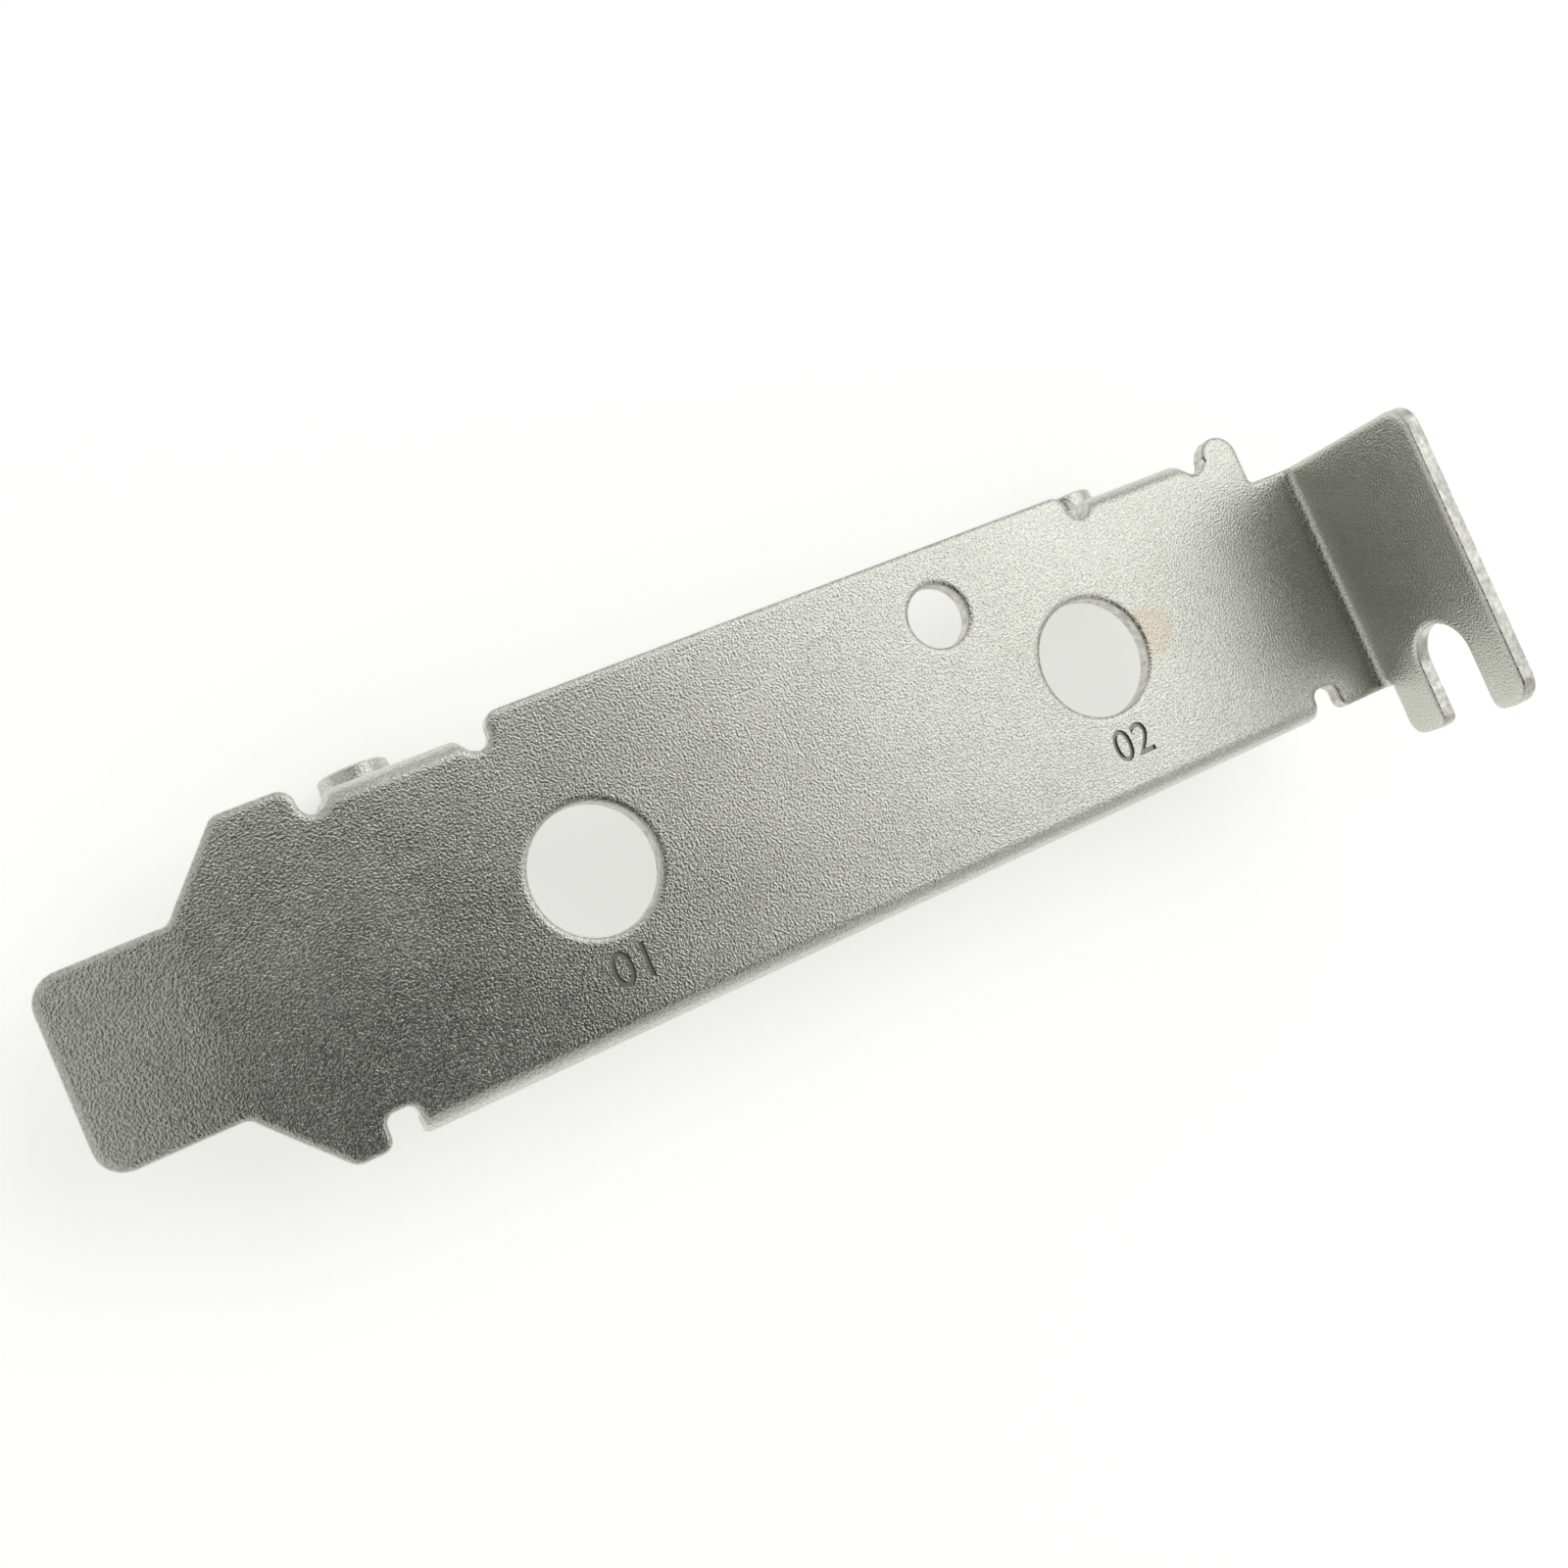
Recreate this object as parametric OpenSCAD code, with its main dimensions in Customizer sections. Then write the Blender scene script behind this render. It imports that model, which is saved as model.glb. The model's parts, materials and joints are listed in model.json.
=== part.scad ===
// Low-profile expansion-slot cover bracket, folded from one blanked sheet.
// The plate lies flat with its outer face up: the tongue is at -X, the screw
// flange stands up at +X, and the two board tabs and the stiffening lip fold down.
// The origin is the centre of the screw slot's round end, on the flange's seat face.

/* [Sheet] */
// Thickness of the sheet
sheet_t = 0.95; // [0.8:0.05:1.1]
// Length from the tongue's tip to the flange's far face
overall_l = 79.2; // [78.6:0.1:79.8]
// Width of the plate, from the free edge to the lip's outer face
plate_w = 18.5; // [18.2:0.1:18.8]
// Width of the rounded shoulder that punching leaves on the outer face's edges
roll_w = 0.45; // [0.3:0.05:0.5]
// Depth of that rounded shoulder
roll_d = 0.18; // [0.1:0.02:0.22]

/* [Tongue] */
// Width of the tongue
tongue_w = 10.1; // [9.8:0.1:10.4]
// Length of the tongue, from its tip to the root of the taper
tongue_l = 6.95; // [6.5:0.1:7.4]
// Radius of the tongue's corners
tongue_r = 1.55; // [1.2:0.05:1.8]
// Angle of the taper between tongue and plate
taper_a = 48; // [45:1:52]
// Downward bend of the tongue, in degrees
tongue_bend = 4; // [2:0.5:6]

/* [Holes] */
// Diameter of the two antenna holes
antenna_d = 7.1; // [6.4:0.1:7.4]
// Distance between the antenna holes
antenna_pitch = 32.7; // [31.5:0.1:33.5]
// Distance from the flange's seat to the nearer antenna hole
antenna_x = 18.2; // [17.5:0.1:19]
// Diameter of the indicator light's hole
light_d = 3.7; // [3:0.1:4]
// Distance from the flange's seat to the light's hole
light_x = 26.55; // [25.5:0.05:28]

/* [Screw flange] */
// Width of the flange
flange_w = 18.42; // [18:0.02:19]
// Height of the flange above the plate's outer face
flange_h = 10.75; // [10.5:0.05:11.2]
// Inside radius of the flange's bend
flange_ri = 0.65; // [0.5:0.05:0.8]
// Width of the screw slot
slot_w = 4.2; // [4.1:0.05:4.4]
// Height of the slot's centre line above the plate's outer face
slot_z = 5.78; // [5.6:0.02:6]
// Depth of the slot, from the prongs' tips to its round end
slot_l = 6.05; // [5.6:0.05:6.4]

/* [Board tabs] */
// Distance from the flange's seat to the centre of the nearer tab
tab_x = 10.65; // [10.2:0.05:11]
// Distance from the shoulder, where the taper ends, to the farther tab's centre
tab_far = 9.15; // [9:0.05:9.6]
// Width of a tab
tab_w = 7.1; // [6.6:0.1:7.4]
// Depth of the tabs below the plate's outer face
tab_l = 9.8; // [9.4:0.1:10.4]
// Depth of the threaded holes' centres below the plate's outer face
tab_hole_z = 7; // [6.6:0.1:7.3]
// Diameter of the threaded hole before threading
thread_d = 2.5; // [2.4:0.05:2.6]
// Outside diameter of the collar drawn out around the hole
collar_d = 4.1; // [3.8:0.1:4.3]
// Height of the collar above the tab
collar_h = 1.3; // [0.9:0.1:1.5]

/* [Lip] */
// Depth of the lip below the plate's outer face
lip_l = 2.2; // [1.9:0.1:2.8]
// Width of the relief notches at the lip's ends
notch_w = 1.7; // [1.5:0.1:1.9]

/* [Hidden] */
$fn = 36;
eps = 0.001;
nickel = [0.73, 0.73, 0.70];

// bends of the lip and the tabs
fold_ri = 0.1;
fold_ro = fold_ri + sheet_t;

// a length that is worked out is kept to a hundredth, so that pieces meet exactly
function hundredth(v) = round(v * 100) / 100;

// lines across the length, measured from the flange's seat
tip_x = hundredth(sheet_t - overall_l);
root_x = tip_x + tongue_l;
shoulder_x = hundredth(root_x + (plate_w - tongue_w) / 2 / tan(taper_a));
tab2_x = -tab_x;
tab1_x = shoulder_x + tab_far;
relief_r = 0.8;
relief_w = 2 * relief_r;
ear_w = 2.6;
ear_x = tab2_x + tab_w / 2 + relief_w;
lip_ends = [3.68, 5.07];
lip_x0 = shoulder_x + lip_ends[0];
lip_x1 = -lip_ends[1];
flange_fold_x = -flange_ri;

// lines along the length, measured from the plate's centre line
edge_y = plate_w / 2;
neck_step = 3.5;
neck_y = edge_y - neck_step;
tab_step = 0.7;
tab_y = edge_y - tab_step;
tab_fold_y = tab_y - fold_ro;
lip_fold_y = -edge_y + fold_ro;
notch_l = 1.65;
notch_y = -edge_y + notch_l;
antenna_y = -0.45;
light_y = 5.2;

// the flange
prong_y = neck_y - flange_w;
slot_y = prong_y + slot_l;
slot_end_y = slot_y - slot_w / 2;

// corner radii
root_r = 0.7;
shoulder_r = 0.9;
edge_r = 0.85;
prong_r = 0.6;
notch_r = 0.58;
neck_r = 0.35;
flange_tip_r = 1;
flange_top_r = 1.4;
slot_mouth_r = 0.7;
lip_r = 0.6;
tab_r = 1.5;

// section of the rounded shoulder: distance in from the edge, and drop
roll_steps = 4;
roll = [for (i = [0:roll_steps]) let(a = 90 * i / roll_steps)
    [roll_w * (1 - cos(a)), -roll_d * (1 - sin(a))]];
roll_last = roll_w - roll[roll_steps - 1][0];
roll_slope = -roll[roll_steps - 1][1] / roll_last;

// The cutters for it reach past the sheet. Their last face runs on through the
// outer face at the same slope, over at most the distance most from the edge.
reach = 0.25;
function cutter_lines(k, most) = let(e = min(most, k * (roll_w + roll_last)))
    concat([for (i = [0:roll_steps - 1]) k * roll[i]],
        [[e, (e - k * roll_w) * roll_slope], [e, reach]]);

// ---------------------------------------------------------------- outlines
// An outline is a list of [x, y, corner radius, edge], anticlockwise. edge is 1
// where the line to the next corner was cut, and 0 where it is a fold.

function unit(v) = v / norm(v);
function left(v) = [-v[1], v[0]];
function at(p, i) = p[(i + len(p)) % len(p)];
function xy(q) = [q[0], q[1]];
function dir(p, i) = unit(xy(at(p, i + 1)) - xy(at(p, i)));
function turn(p, i) = let(a = dir(p, i - 1), b = dir(p, i))
    atan2(a[0] * b[1] - a[1] * b[0], a * b);
function cut_back(p, i) = at(p, i)[2] * tan(abs(turn(p, i)) / 2);
function arc_in(p, i) = xy(at(p, i)) - dir(p, i - 1) * cut_back(p, i);
function arc_out(p, i) = xy(at(p, i)) + dir(p, i) * cut_back(p, i);
function centre(p, i) = arc_in(p, i)
    + left(dir(p, i - 1)) * at(p, i)[2] * sign(turn(p, i));
function same(a, b) = norm(a - b) < 0.01;

module outline(p) {
    pts = [for (i = [0:len(p) - 1]) each
        at(p, i)[2] == 0 ? [xy(at(p, i))]
        : same(arc_out(p, i - 1), arc_in(p, i)) ? [arc_out(p, i)]
        : [arc_in(p, i), arc_out(p, i)]];
    difference() {
        union() {
            polygon(pts);
            for (i = [0:len(p) - 1])
                if (at(p, i)[2] > 0 && turn(p, i) > 0)
                    translate(centre(p, i)) circle(at(p, i)[2]);
        }
        for (i = [0:len(p) - 1])
            if (at(p, i)[2] > 0 && turn(p, i) < 0)
                translate(centre(p, i)) circle(at(p, i)[2]);
    }
}

// what punching takes off a straight edge, which runs along +X with the sheet at +Y
module straight_roll(l) {
    rotate([90, 0, 90]) linear_extrude(l)
        polygon(concat([[-reach, reach], [-reach, -roll_d]], cutter_lines(1, 9)));
}

// the same round an arc of radius r: side is 1 where the sheet is outside the arc
module arc_roll(r, side, a, k = 1) {
    back = side > 0 ? min(reach, r) : reach;
    rotate_extrude(angle = a) polygon(concat(
        [[r - side * back, reach], [r - side * back, -k * roll_d]],
        [for (q = cutter_lines(k, side > 0 ? 9 : r)) [r + side * q[0], q[1]]]));
}

// Round a corner of the taper the shoulder is a hair smaller, and the straight ones
// beside it lap over it, so that the two never nearly coincide.
function slanted(p, i) = abs(abs(turn(p, i)) - 90) > 0.5;
lap = 0.02;
lap_k = 0.96;

module edge_rolls(p) {
    for (i = [0:len(p) - 1]) {
        a = arc_out(p, i);
        b = arc_in(p, i + 1);
        if (at(p, i)[3] == 1 && !same(a, b)) {
            l = norm(b - a);
            lap_a = slanted(p, i) ? lap : 0;
            lap_b = slanted(p, i + 1) ? lap : 0;
            translate(lap_b > 0 ? a : b)
                rotate(atan2(b[1] - a[1], b[0] - a[0]))
                    translate([lap_b > 0 ? -lap_a : -l - lap_a, 0, 0])
                        straight_roll(l + lap_a + lap_b);
        }
        if (at(p, i)[2] > 0) {
            c = centre(p, i);
            t = turn(p, i);
            // an arc that ends in a fold runs on past it
            on = 50;
            before = at(p, i - 1)[3] == 0 ? on : 0;
            after = at(p, i)[3] == 0 ? on : 0;
            v = t > 0 ? arc_in(p, i) - c : arc_out(p, i) - c;
            translate(c) rotate(atan2(v[1], v[0]) - (t > 0 ? before : after))
                arc_roll(at(p, i)[2], -sign(t), abs(t) + before + after,
                    slanted(p, i) ? lap_k : 1);
        }
    }
}

// a flat piece of sheet with its outer face on z = 0
module sheet(p) {
    difference() {
        translate([0, 0, -sheet_t]) linear_extrude(sheet_t) outline(p);
        edge_rolls(p);
    }
}

// ---------------------------------------------------------------- plate
plate_outline = [
    [tip_x, -tongue_w / 2, tongue_r, 1],
    [root_x, -tongue_w / 2, root_r, 1],
    [shoulder_x, -edge_y, shoulder_r, 1],
    [lip_x0 - notch_w, -edge_y, prong_r, 1],
    [lip_x0 - notch_w, notch_y, notch_r, 1],
    [lip_x0, notch_y, notch_r, 1],
    [lip_x0, lip_fold_y, 0, 0],
    [lip_x1, lip_fold_y, 0, 1],
    [lip_x1, notch_y, notch_r, 1],
    [lip_x1 + notch_w, notch_y, notch_r, 1],
    [lip_x1 + notch_w, -edge_y, prong_r, 1],
    [flange_fold_x, -edge_y, 0, 0],
    [flange_fold_x, neck_y, 0, 1],
    [ear_x + ear_w, neck_y, neck_r, 1],
    [ear_x + ear_w, edge_y, ear_w / 2, 1],
    [ear_x, edge_y, ear_w / 2, 1],
    [ear_x, tab_fold_y, relief_r, 0],
    [tab2_x - tab_w / 2 - relief_w, tab_fold_y, relief_r, 1],
    [tab2_x - tab_w / 2 - relief_w, edge_y, edge_r, 1],
    [tab1_x + tab_w / 2 + relief_w, edge_y, edge_r, 1],
    [tab1_x + tab_w / 2 + relief_w, tab_fold_y, relief_r, 0],
    [tab1_x - tab_w / 2 - relief_w, tab_fold_y, relief_r, 1],
    [tab1_x - tab_w / 2 - relief_w, edge_y, edge_r, 1],
    [shoulder_x, edge_y, shoulder_r, 1],
    [root_x, tongue_w / 2, root_r, 1],
    [tip_x, tongue_w / 2, tongue_r, 1]
];

module round_hole(x, y, d) {
    translate([x, y, 0]) {
        translate([0, 0, -sheet_t - 1]) cylinder(h = sheet_t + 2, d = d);
        arc_roll(d / 2, 1, 360);
    }
}

module flat_plate() {
    difference() {
        sheet(plate_outline);
        round_hole(-antenna_x, antenna_y, antenna_d);
        round_hole(-antenna_x - antenna_pitch, antenna_y, antenna_d);
        round_hole(-light_x, light_y, light_d);
    }
}

// one side of a line across the plate: side is 1 towards the flange, -1 away from it
far = overall_l * 2;

module beyond(x, side) {
    translate([x, 0, 0]) mirror([side > 0 ? 0 : 1, 0, 0])
        translate([0, -far / 2, -far / 2]) cube(far);
}

module bend_down(x, a) {
    translate([x, 0, 0]) rotate([0, -a, 0]) translate([-x, 0, 0]) children();
}

// the tongue is eased down over two shallow creases at its root
ease_w = 0.8;
crease1_x = root_x + ease_w / 2;
crease2_x = root_x - ease_w / 2;

module plate() {
    intersection() {
        flat_plate();
        beyond(crease1_x, 1);
    }
    bend_down(crease1_x, tongue_bend / 2) {
        intersection() {
            flat_plate();
            beyond(crease1_x, -1);
            beyond(crease2_x, 1);
        }
        bend_down(crease2_x, tongue_bend / 2) intersection() {
            flat_plate();
            beyond(crease2_x, -1);
        }
    }
}

// ---------------------------------------------------------------- bends
// section of a bend whose outer face is on the side of side (1 outside, -1
// inside), from a to b along the bend, with rounded shoulders at both ends
function bend_section(ri, ro, a, b, side) =
    let(face = side > 0 ? ro : ri, back = side > 0 ? ri : ro)
    concat([for (q = roll) [face + side * q[1], a + q[0]]],
        [for (i = [roll_steps:-1:0]) [face + side * roll[i][1], b - roll[i][0]]],
        [[back, b], [back, a]]);

module flange_bend() {
    translate([-flange_ri, 0, flange_ri]) rotate([-90, 0, 0])
        rotate_extrude(angle = 90)
            polygon(bend_section(flange_ri, flange_ri + sheet_t, -edge_y, neck_y, -1));
}

module lip_bend() {
    translate([0, lip_fold_y, -fold_ro]) rotate([0, 90, 0]) rotate([0, 0, 180])
        rotate_extrude(angle = 90)
            polygon(bend_section(fold_ri, fold_ro, lip_x0, lip_x1, 1));
}

// ---------------------------------------------------------------- flange
// seen from the plate's side, with the prongs to the right
flange_outline = [
    [-neck_y, flange_ri, 0, 0],
    [edge_y, flange_ri, 0, 1],
    [-prong_y, flange_ri, flange_tip_r, 1],
    [-prong_y, slot_z - slot_w / 2, slot_mouth_r, 1],
    [-slot_y, slot_z - slot_w / 2, slot_w / 2, 1],
    [-slot_y, slot_z + slot_w / 2, slot_w / 2, 1],
    [-prong_y, slot_z + slot_w / 2, slot_mouth_r, 1],
    [-prong_y, flange_h, flange_top_r, 1],
    [-neck_y, flange_h, flange_top_r, 1]
];

module flange() {
    rotate([90, 0, -90]) sheet(flange_outline);
}

// ---------------------------------------------------------------- lip
lip_drop = lip_l - fold_ro;
lip_outline = [
    [lip_x0, -lip_drop, lip_r, 1],
    [lip_x1, -lip_drop, lip_r, 1],
    [lip_x1, 0, 0, 0],
    [lip_x0, 0, 0, 1]
];

module lip() {
    translate([0, -edge_y, -fold_ro]) rotate([90, 0, 0]) sheet(lip_outline);
}

// ---------------------------------------------------------------- tabs
tab_drop = tab_l - fold_ro;
tab_outline = [
    [-tab_w / 2, -tab_drop, tab_r, 1],
    [tab_w / 2, -tab_drop, tab_r, 1],
    [tab_w / 2, 0, 0, 0],
    [-tab_w / 2, 0, 0, 1]
];
tab_hole_dx = -0.95;

// The reliefs beside a tab were punched before it was folded, so their round ends
// wrap onto the bend. One ring of this cutter is a section across the bend at
// angle a: line j of the rounded shoulder lies roll[j][0] outside the relief's arc.
relief_dx = tab_w / 2 + relief_r;
wrap_steps = 10;

function wrap_x(a, v) = let(s = relief_r * max(0, min(1, 1 - a / 90)))
    relief_dx - sqrt(pow(relief_r + v, 2) - s * s);
function wrap_point(x, r, a) = [x, r * sin(a), r * cos(a)];
function wrap_ring(a) = concat(
    [wrap_point(relief_dx + 0.5, fold_ri - 0.05, a), wrap_point(wrap_x(a, 0), fold_ri - 0.05, a)],
    [for (q = cutter_lines(1, 9)) wrap_point(wrap_x(a, q[0]), fold_ro + q[1], a)],
    [wrap_point(relief_dx + 0.5, fold_ro + reach, a)]);

module relief_wrap() {
    rings = [for (i = [-1:wrap_steps + 1]) wrap_ring(90 * i / wrap_steps)];
    n = len(rings[0]);
    last = len(rings) - 1;
    polyhedron(
        points = [for (r = rings) each r],
        faces = concat(
            [[for (j = [0:n - 1]) j]],
            [for (i = [0:last - 1], j = [0:n - 1]) let(k = (j + 1) % n)
                each [[i * n + j, (i + 1) * n + k, i * n + k],
                    [i * n + j, (i + 1) * n + j, (i + 1) * n + k]]],
            [[for (j = [n - 1:-1:0]) last * n + j]]));
}

module tab_bend() {
    difference() {
        rotate([90, 0, 90]) rotate_extrude(angle = 90)
            polygon([[fold_ri, -relief_dx], [fold_ro, -relief_dx],
                [fold_ro, relief_dx], [fold_ri, relief_dx]]);
        relief_wrap();
        mirror([1, 0, 0]) relief_wrap();
    }
}

// the collar that was drawn out of the sheet for the thread, on the tab's outer face
module collar() {
    root = 0.3;
    r = collar_d / 2;
    rotate_extrude() polygon(concat(
        [[0, -sheet_t / 2], [r + root, -sheet_t / 2]],
        [for (i = [0:4]) [r + root - root * sin(22.5 * i), root - root * cos(22.5 * i)]],
        [[r - 0.08, collar_h - 0.12], [r - 0.25, collar_h], [0, collar_h]]));
}

// the threaded hole, with the rounded entry that drawing leaves on the board's side
module collar_hole() {
    entry = 0.4;
    r = thread_d / 2;
    translate([0, 0, -sheet_t - 1]) cylinder(h = sheet_t + collar_h + 2, r = r);
    translate([0, 0, -sheet_t]) rotate_extrude() polygon(concat(
        [[0, -1], [r + entry, -1]],
        [for (i = [0:4]) [r + entry * (1 - sin(22.5 * i)), entry * (1 - cos(22.5 * i))]],
        [[0, entry]]));
    translate([0, 0, collar_h - 0.15]) cylinder(h = 0.2, r1 = r, r2 = r + 0.2);
}

module tab(x) {
    translate([x, tab_fold_y, -fold_ro]) tab_bend();
    difference() {
        union() {
            translate([x, tab_y, -fold_ro]) rotate([90, 0, 180]) sheet(tab_outline);
            translate([x + tab_hole_dx, tab_y, -tab_hole_z]) rotate([-90, 0, 0]) collar();
        }
        translate([x + tab_hole_dx, tab_y, -tab_hole_z]) rotate([-90, 0, 0]) collar_hole();
    }
}

// ---------------------------------------------------------------- bracket
module bracket() {
    color(nickel) translate([0, -slot_end_y, -slot_z]) {
        plate();
        flange_bend();
        flange();
        lip_bend();
        lip();
        tab(tab1_x);
        tab(tab2_x);
    }
}

bracket();
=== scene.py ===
# The looks of the low-profile slot bracket: satin nickel with its grain, a stain and a
# faint ring, sheared edges, M3 threads, struck port numbers with painted shade, on a pale stage.
import json
import math

import bmesh
import bpy
from mathutils import Matrix, Vector


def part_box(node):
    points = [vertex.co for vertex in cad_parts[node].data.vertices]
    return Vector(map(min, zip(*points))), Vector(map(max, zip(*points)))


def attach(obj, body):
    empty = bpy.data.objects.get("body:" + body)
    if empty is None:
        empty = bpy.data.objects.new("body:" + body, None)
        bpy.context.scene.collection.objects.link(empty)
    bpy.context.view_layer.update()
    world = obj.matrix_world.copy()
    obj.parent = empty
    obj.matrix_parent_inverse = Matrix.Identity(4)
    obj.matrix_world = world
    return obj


MM = 0.001

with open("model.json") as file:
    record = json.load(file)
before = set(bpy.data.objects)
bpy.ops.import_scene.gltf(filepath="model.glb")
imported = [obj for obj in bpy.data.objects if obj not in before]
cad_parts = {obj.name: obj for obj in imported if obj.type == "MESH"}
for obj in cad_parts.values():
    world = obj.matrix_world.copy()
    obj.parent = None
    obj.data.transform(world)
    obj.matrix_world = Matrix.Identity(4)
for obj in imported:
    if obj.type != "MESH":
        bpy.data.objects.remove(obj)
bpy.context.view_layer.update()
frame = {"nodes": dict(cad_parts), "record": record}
bracket = frame["nodes"]["bracket"]
mounts = {m["name"]: m for m in frame["record"]["mounts"]}
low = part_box("bracket")[0]


def place(name):
    return Vector(mounts[name]["pos_m"])


# The height of the plate's outer face and the line along its middle, in metres.
PLATE_Z = place("outer_face").z
MID_Y = place("outer_face").y
board_holes = [place("board_hole_1"), place("board_hole_2")]

# The point on the plate's outer face that its marks and the camera are measured from.
PLATE_POINT = Vector((-38.64, 8.27, -5.78)) * MM


def from_plate(x, y, z=0):
    """A place given in millimetres from the plate's point."""
    return Vector((x, y, z)) * MM + PLATE_POINT


def add(name, data):
    """A new object in the scene."""
    obj = bpy.data.objects.new(name, data)
    bpy.context.scene.collection.objects.link(obj)
    return obj


# ------------------------------------------------------------------ camera
# The photograph's view of the plate, from about 90 mm over its middle. The turn is an
# axis times an angle in radians, from the part's axes to the camera's.
CAMERA_AT = from_plate(-35.84, -2.83, 89.56)
CAMERA_TURN = Vector((-3.1305, 0.6442, -0.5811))

cam_data = bpy.data.cameras.new("camera")
cam_data.sensor_width = 36
cam_data.lens = 40.72
cam_data.clip_start = 0.005
cam_data.clip_end = 10
camera = add("camera", cam_data)
camera_axes = Matrix.Rotation(CAMERA_TURN.length, 3, CAMERA_TURN.normalized())
right, down, ahead = (Vector(row) for row in camera_axes)
aim = Matrix((right, -down, -ahead)).transposed()
camera.matrix_world = Matrix.Translation(CAMERA_AT) @ aim.to_4x4()
bpy.context.scene.camera = camera

# ------------------------------------------------------------------ materials
# The nickel's noises, in features for each metre, and how deep a bump each one makes.
CLOUD, GRAIN, PITS = 160, 7600, 15000
CLOUD_DEPTH, GRAIN_DEPTH, PIT_DEPTH = 0.002 * MM, 0.044 * MM, 0.008 * MM
# The same for the sheared edges.
CHATTER, TEAR = 1100, 2400
CHATTER_DEPTH, TEAR_DEPTH = 0.06 * MM, 0.03 * MM
# The tan stain by the second antenna hole, and the faint ring on the plate.
STAIN_AT, STAIN_RADIUS, STAIN_BLUR, STAIN_STRENGTH = from_plate(24.6, 0.2), 1.75 * MM, 0.35 * MM, 0.45
RING_AT, RING_OUTER, RING_INNER, RING_BLUR = from_plate(4.56, 5.96), 1.15 * MM, 1.0 * MM, 0.12 * MM
RING_STRENGTH = 0.3


def shader(name, metallic, rough, colour):
    mat = bpy.data.materials.new(name)
    mat.use_nodes = True
    nt = mat.node_tree
    bsdf = nt.nodes["Principled BSDF"]
    bsdf.inputs["Metallic"].default_value = metallic
    bsdf.inputs["Roughness"].default_value = rough
    bsdf.inputs["Base Color"].default_value = (*colour, 1)
    return mat, nt, bsdf


def grey(value):
    return (value, value, value)


def put(nt, socket, value):
    """Give an input a number, a colour or another node's output."""
    if isinstance(value, (int, float)):
        socket.default_value = value
    elif isinstance(value, tuple):
        socket.default_value = (*value, 1)
    else:
        nt.links.new(value, socket)


def noise_tex(nt, coords, scale, detail, rough):
    n = nt.nodes.new("ShaderNodeTexNoise")
    for key, value in (("Vector", coords), ("Scale", scale), ("Detail", detail), ("Roughness", rough)):
        put(nt, n.inputs[key], value)
    return n.outputs["Fac"]


def ramp(nt, fac, *stops):
    """A ramp between two stops, each a position and a colour."""
    n = nt.nodes.new("ShaderNodeValToRGB")
    put(nt, n.inputs["Fac"], fac)
    for element, (position, colour) in zip(n.color_ramp.elements, stops):
        element.position = position
        element.color = (*colour, 1)
    return n.outputs["Color"]


def maths(nt, op, a, b, clamp=False):
    n = nt.nodes.new("ShaderNodeMath")
    n.operation = op
    n.use_clamp = clamp
    put(nt, n.inputs[0], a)
    put(nt, n.inputs[1], b)
    return n.outputs[0]


def mix(nt, fac, a, b, blend="MIX"):
    """A mix of two colours, through the mix node's own colour sockets."""
    n = nt.nodes.new("ShaderNodeMix")
    n.data_type = "RGBA"
    n.blend_type = blend
    put(nt, n.inputs["Factor"], fac)
    put(nt, n.inputs[6], a)
    put(nt, n.inputs[7], b)
    return n.outputs[2]


def disc(nt, coords, at, radius, blur):
    """1 inside a round patch on the plate's outer face, 0 outside it."""
    d = nt.nodes.new("ShaderNodeVectorMath")
    d.operation = "DISTANCE"
    nt.links.new(coords, d.inputs[0])
    d.inputs[1].default_value = at
    inside = maths(nt, "SUBTRACT", radius, d.outputs["Value"])
    return maths(nt, "DIVIDE", inside, blur, True)


def bump(nt, bsdf, heights):
    """Bumps laid over one another, each a noise and its depth in metres."""
    last = None
    for height, depth in heights:
        b = nt.nodes.new("ShaderNodeBump")
        put(nt, b.inputs["Strength"], 1.0)
        put(nt, b.inputs["Distance"], depth)
        put(nt, b.inputs["Height"], height)
        if last is not None:
            put(nt, b.inputs["Normal"], last)
        last = b.outputs["Normal"]
    put(nt, bsdf.inputs["Normal"], last)


def plated():
    """Satin nickel over the sheet's orange-peel grain, with the stain and the ring."""
    mat, nt, bsdf = shader("satin_nickel", 1.0, 0.3, (0.66, 0.65, 0.61))
    coords = nt.nodes.new("ShaderNodeTexCoord").outputs["Object"]
    grain = noise_tex(nt, coords, GRAIN, 2, 0.5)
    pits = noise_tex(nt, coords, PITS, 2, 0.5)
    cloud = noise_tex(nt, coords, CLOUD, 4, 0.6)
    tone = ramp(nt, cloud, (0.3, (0.63, 0.64, 0.58)), (0.7, (0.71, 0.72, 0.66)))
    speck = ramp(nt, grain, (0.36, grey(0.80)), (0.6, grey(1)))
    colour = mix(nt, 1.0, tone, speck, "MULTIPLY")
    stain = disc(nt, coords, STAIN_AT, STAIN_RADIUS, STAIN_BLUR)
    colour = mix(nt, maths(nt, "MULTIPLY", stain, STAIN_STRENGTH), colour, (0.62, 0.50, 0.36))
    outer = disc(nt, coords, RING_AT, RING_OUTER, RING_BLUR)
    inner = disc(nt, coords, RING_AT, RING_INNER, RING_BLUR)
    ring = maths(nt, "SUBTRACT", outer, inner)
    colour = mix(nt, maths(nt, "MULTIPLY", ring, RING_STRENGTH), colour, (0.42, 0.41, 0.38))
    put(nt, bsdf.inputs["Base Color"], colour)
    rough = ramp(nt, cloud, (0.3, grey(0.19)), (0.7, grey(0.25)))
    put(nt, bsdf.inputs["Roughness"], rough)
    bump(nt, bsdf, [(cloud, CLOUD_DEPTH), (grain, GRAIN_DEPTH), (pits, PIT_DEPTH)])
    return mat


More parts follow.
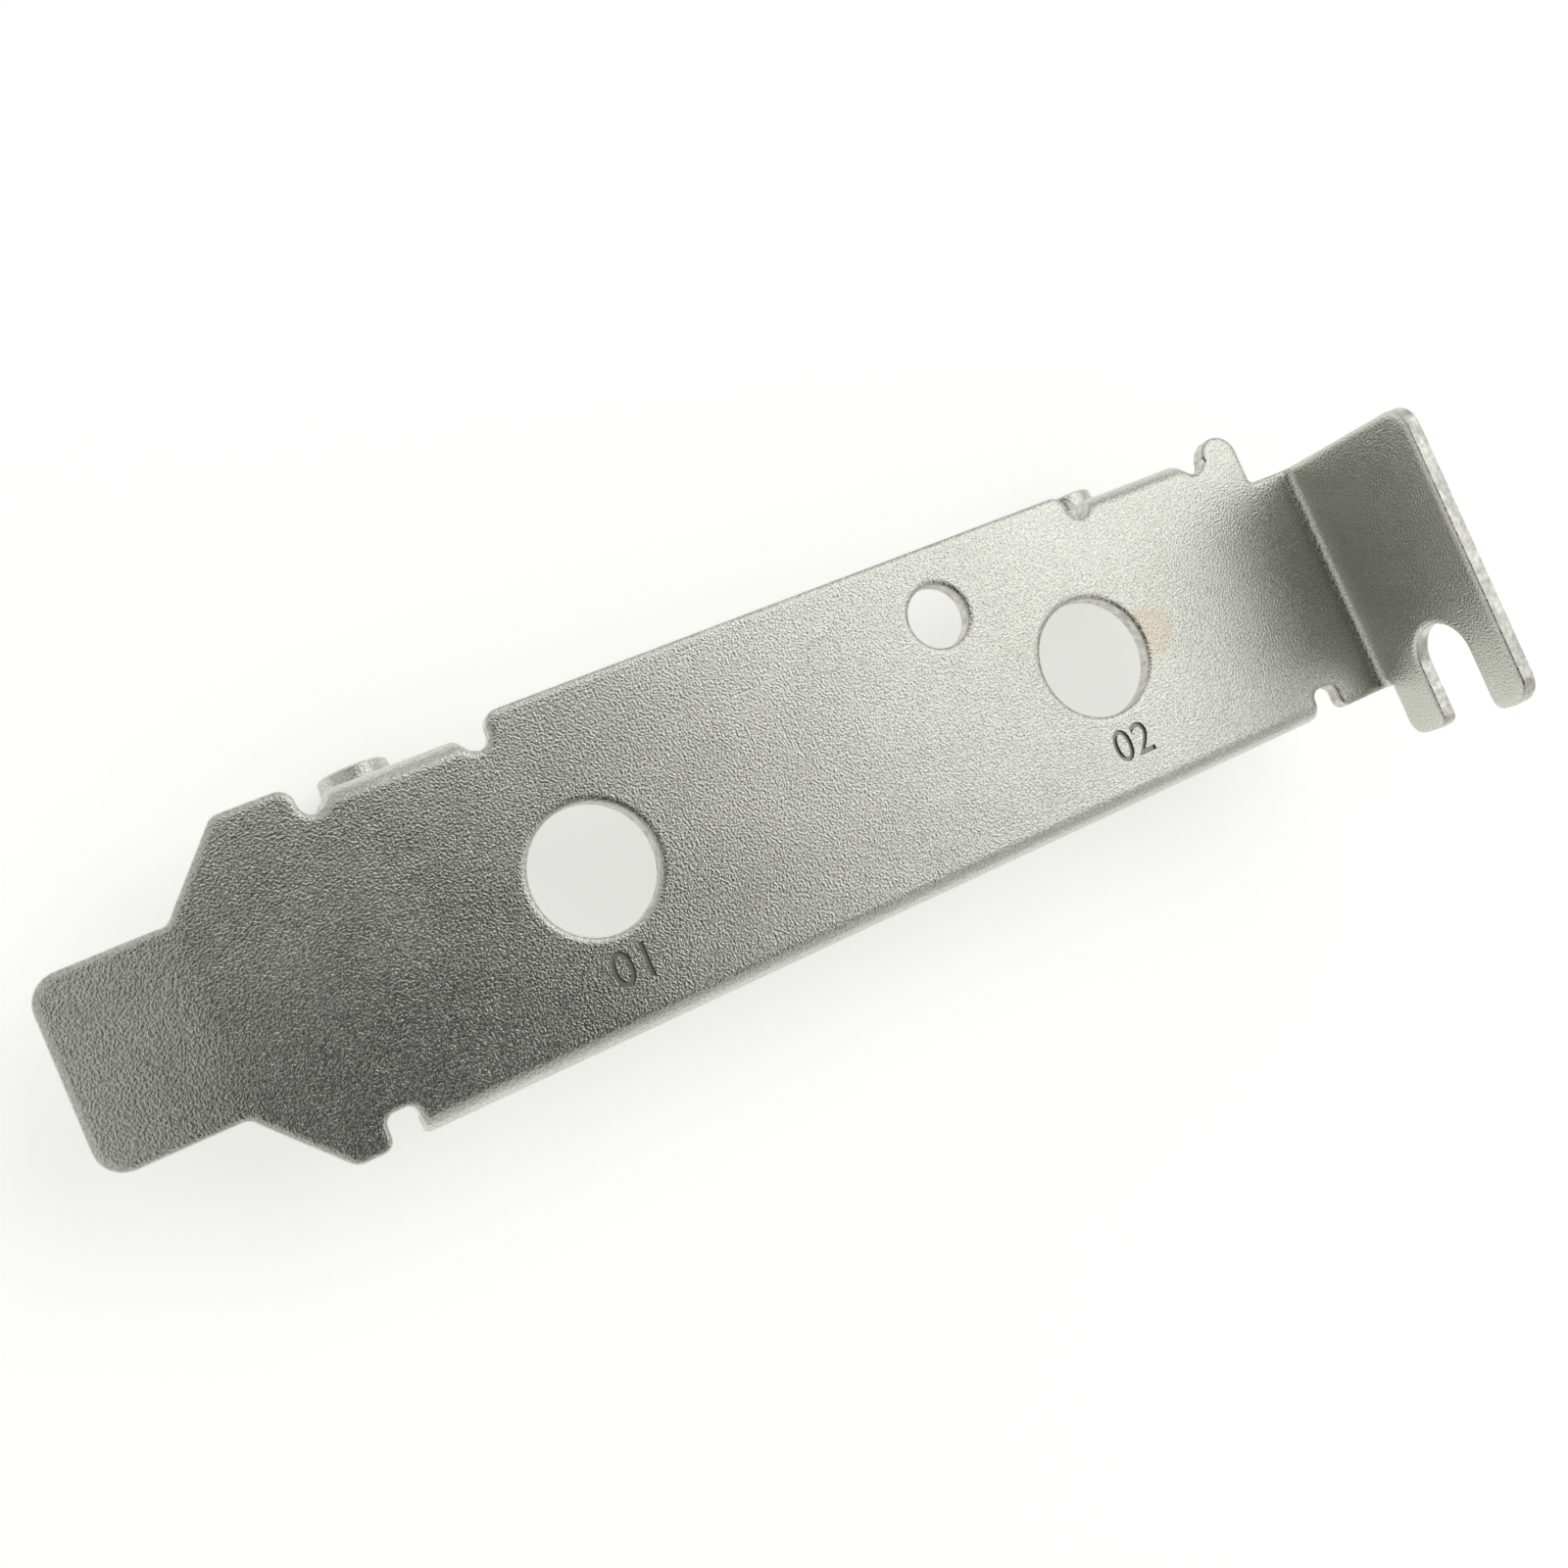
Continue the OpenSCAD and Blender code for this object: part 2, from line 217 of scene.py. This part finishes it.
def sheared():
    """The cut edges: torn grain and the punch's chatter."""
    mat, nt, bsdf = shader("sheared_edge", 1.0, 0.42, (0.70, 0.69, 0.64))
    coords = nt.nodes.new("ShaderNodeTexCoord").outputs["Object"]
    tear = noise_tex(nt, coords, TEAR, 5, 0.7)
    chatter = noise_tex(nt, coords, CHATTER, 1, 0.4)
    colour = ramp(nt, tear, (0.3, (0.45, 0.44, 0.40)), (0.62, (0.80, 0.79, 0.74)))
    put(nt, bsdf.inputs["Base Color"], colour)
    rough = ramp(nt, chatter, (0.35, grey(0.30)), (0.65, grey(0.55)))
    put(nt, bsdf.inputs["Roughness"], rough)
    bump(nt, bsdf, [(chatter, CHATTER_DEPTH), (tear, TEAR_DEPTH)])
    return mat


# ------------------------------------------------------------------ the bracket
nickel_mat, edge_mat = plated(), sheared()
# The struck numbers' faces are a darker nickel: painted shade in the struck recesses.
struck_shade_mat = shader("struck_mark_painted_shade", 1.0, 0.45, (0.34, 0.34, 0.31))[0]
mesh = bracket.data
mesh.materials.clear()
for material in (nickel_mat, edge_mat, struck_shade_mat):
    mesh.materials.append(material)
NICKEL_SLOT, EDGE_SLOT = 0, 1

# Where the sheet's forms begin. Heights are from the plate's outer face, and the fold
# line is measured across from the plate's middle.
FLANGE_ABOVE, FOLDED_BELOW, WALLS_BELOW = 0.66 * MM, -0.02 * MM, -1.06 * MM
FLANGE_BEND_X, TONGUE_END_X = -0.64 * MM, low.x + 12 * MM
FOLD_LINE = 7.6 * MM
LIP_FROM, LIP_TO = -63.8 * MM, -5.1 * MM
# Round each board hole: how far its collar reaches, and its tab's middle and half width.
COLLAR_REACH, TAB_MIDDLE, TAB_HALF = 2.4 * MM, 0.95 * MM, 4.3 * MM
# How much of a face's normal lies on an axis.
LITTLE, HALF, MOST, NEARLY_ALL = 0.3, 0.5, 0.9, 0.99


def at_collar(c):
    """Whether c is on the drawn collar or in the hole of a tab."""
    return any(math.hypot(c.x - h.x, c.z - h.z) < COLLAR_REACH for h in board_holes)


def at_fold(c):
    """Whether c is along the lip's bend or a tab's bend."""
    if c.y < MID_Y:
        return LIP_FROM < c.x < LIP_TO
    return any(abs(c.x - h.x - TAB_MIDDLE) < TAB_HALF for h in board_holes)


def is_cut(c, n):
    """Whether a face of the sheet at c with normal n was sheared by the punch."""
    above = c.z - PLATE_Z
    if above > FLANGE_ABOVE:
        return abs(n.x) < LITTLE
    if c.x > FLANGE_BEND_X:
        return abs(n.y) > MOST
    if above < WALLS_BELOW and c.x > TONGUE_END_X:
        return abs(n.y) < LITTLE and not at_collar(c)
    beyond_plate = abs(c.y - MID_Y) > FOLD_LINE and above < FOLDED_BELOW
    if beyond_plate and abs(n.z) < NEARLY_ALL and abs(n.x) < HALF and at_fold(c):
        return False
    return abs(n.z) < LITTLE


for face in mesh.polygons:
    face.use_smooth = True
    face.material_index = EDGE_SLOT if is_cut(face.center, face.normal) else NICKEL_SLOT


def hidden(name, data, mat):
    """A cutter: it shapes the bracket and is never shown."""
    obj = add(name, data)
    obj.hide_render = True
    obj.display_type = "WIRE"
    data.materials.append(mat)
    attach(obj, "root")
    return obj


def number_cutter(text, at):
    """Plain port numbers, struck into the plate's outer face; their faces take a darker nickel,
    painted shade in the strokes.
    """
    depth, height, swell = 0.16 * MM, 2.75 * MM, 0.02 * MM
    curve = bpy.data.curves.new("number_" + text, "FONT")
    curve.body = text
    curve.size = height
    curve.align_x = "CENTER"
    curve.align_y = "CENTER"
    curve.extrude = depth
    curve.offset = swell
    curve.resolution_u = 4
    holder = add("number_curve_" + text, curve)
    bpy.context.view_layer.update()
    data = bpy.data.meshes.new_from_object(holder)
    bpy.data.objects.remove(holder)
    data.transform(Matrix.Translation(at))
    data.materials.clear()
    return hidden("number_" + text, data, struck_shade_mat)


def thread_cutter(name, at):
    """An M3 thread's groove: a V swept along a helix through the tab and its collar."""
    pitch, turns, steps = 0.5 * MM, 5.2, 28
    start, half_width = -1.15 * MM, 0.24 * MM
    root, crest = 1.47 * MM, 1.2 * MM
    bm = bmesh.new()
    rings = []
    for i in range(int(turns * steps) + 1):
        a = 2 * math.pi * i / steps
        y = at.y + start + pitch * i / steps
        groove = ((crest, -half_width), (root, 0), (crest, half_width))
        ring = [(at.x + r * math.cos(a), y + dy, at.z + r * math.sin(a)) for r, dy in groove]
        rings.append([bm.verts.new(point) for point in ring])
    for p, q in zip(rings, rings[1:]):
        for j in range(3):
            k = (j + 1) % 3
            bm.faces.new((p[j], p[k], q[k], q[j]))
    bm.faces.new(rings[0])
    bm.faces.new(reversed(rings[-1]))
    bmesh.ops.recalc_face_normals(bm, faces=bm.faces)
    data = bpy.data.meshes.new(name)
    bm.to_mesh(data)
    bm.free()
    return hidden(name, data, edge_mat)


weld = bracket.modifiers.new("weld", "WELD")
weld.merge_threshold = 1e-7
cutters = [
    number_cutter("01", from_plate(-12.3, -5.45)),
    number_cutter("02", from_plate(20.45, -5.5)),
    thread_cutter("thread_1", board_holes[0]),
    thread_cutter("thread_2", board_holes[1]),
]
for cutter in cutters:
    cut = bracket.modifiers.new(cutter.name, "BOOLEAN")
    cut.operation = "DIFFERENCE"
    cut.solver = "EXACT"
    cut.object = cutter
    cut.material_mode = "TRANSFER"
split = bracket.modifiers.new("sharp", "EDGE_SPLIT")
split.split_angle = math.radians(40)
normals = bracket.modifiers.new("normals", "WEIGHTED_NORMAL")
normals.keep_sharp = True
normals.weight = 100

# ------------------------------------------------------------------ stage and light
FLOOR_HALF, FLOOR_GAP = 1.5, 0.02 * MM
CARD_FROM_CAMERA, CARD_HALF_X, CARD_HALF_Y = Vector((0.028, -0.022, 0.004)), 0.043, 0.060
LIGHT_AT, LIGHT_TO = Vector((0.24, 0.14, 0.42)), Vector((-0.035, 0, 0))


def sheet_of_stage(name, centre, half_x, half_y, mat, seen=True):
    """A level rectangle of the stage."""
    data = bpy.data.meshes.new(name)
    signs = ((-1, -1), (1, -1), (1, 1), (-1, 1))
    corners = [centre + Vector((half_x * i, half_y * j, 0)) for i, j in signs]
    data.from_pydata(corners, [], [(0, 1, 2, 3)])
    data.materials.append(mat)
    obj = add(name, data)
    obj.visible_camera = seen
    return obj


floor_mat, _, floor_bsdf = shader("floor", 0.0, 0.9, (0.94, 0.94, 0.93))
floor_bsdf.inputs["Emission Color"].default_value = (1, 1, 0.99, 1)
floor_bsdf.inputs["Emission Strength"].default_value = 0.34
sheet_of_stage("floor", Vector((0, 0, low.z - FLOOR_GAP)), FLOOR_HALF, FLOOR_HALF, floor_mat)

# What the shiny plate mirrors: a dark card beside the camera, as the photograph shows.
dark = shader("dark_card", 0.0, 0.9, (0.012, 0.011, 0.010))[0]
card_at = CAMERA_AT + CARD_FROM_CAMERA
card = sheet_of_stage("dark_card", card_at, CARD_HALF_X, CARD_HALF_Y, dark, seen=False)
card.visible_shadow = False
card.visible_diffuse = False

world = bpy.data.worlds.new("studio")
world.use_nodes = True
background = world.node_tree.nodes["Background"]
background.inputs["Color"].default_value = (1.0, 1.0, 0.985, 1)
background.inputs["Strength"].default_value = 0.60
bpy.context.scene.world = world
bpy.context.scene.view_settings.view_transform = "Standard"

light_data = bpy.data.lights.new("overhead", "AREA")
light_data.shape = "DISK"
light_data.size = 0.5
light_data.energy = 0.55
light = add("overhead", light_data)
light.location = LIGHT_AT
light.rotation_euler = (LIGHT_TO - LIGHT_AT).to_track_quat("-Z", "Y").to_euler()
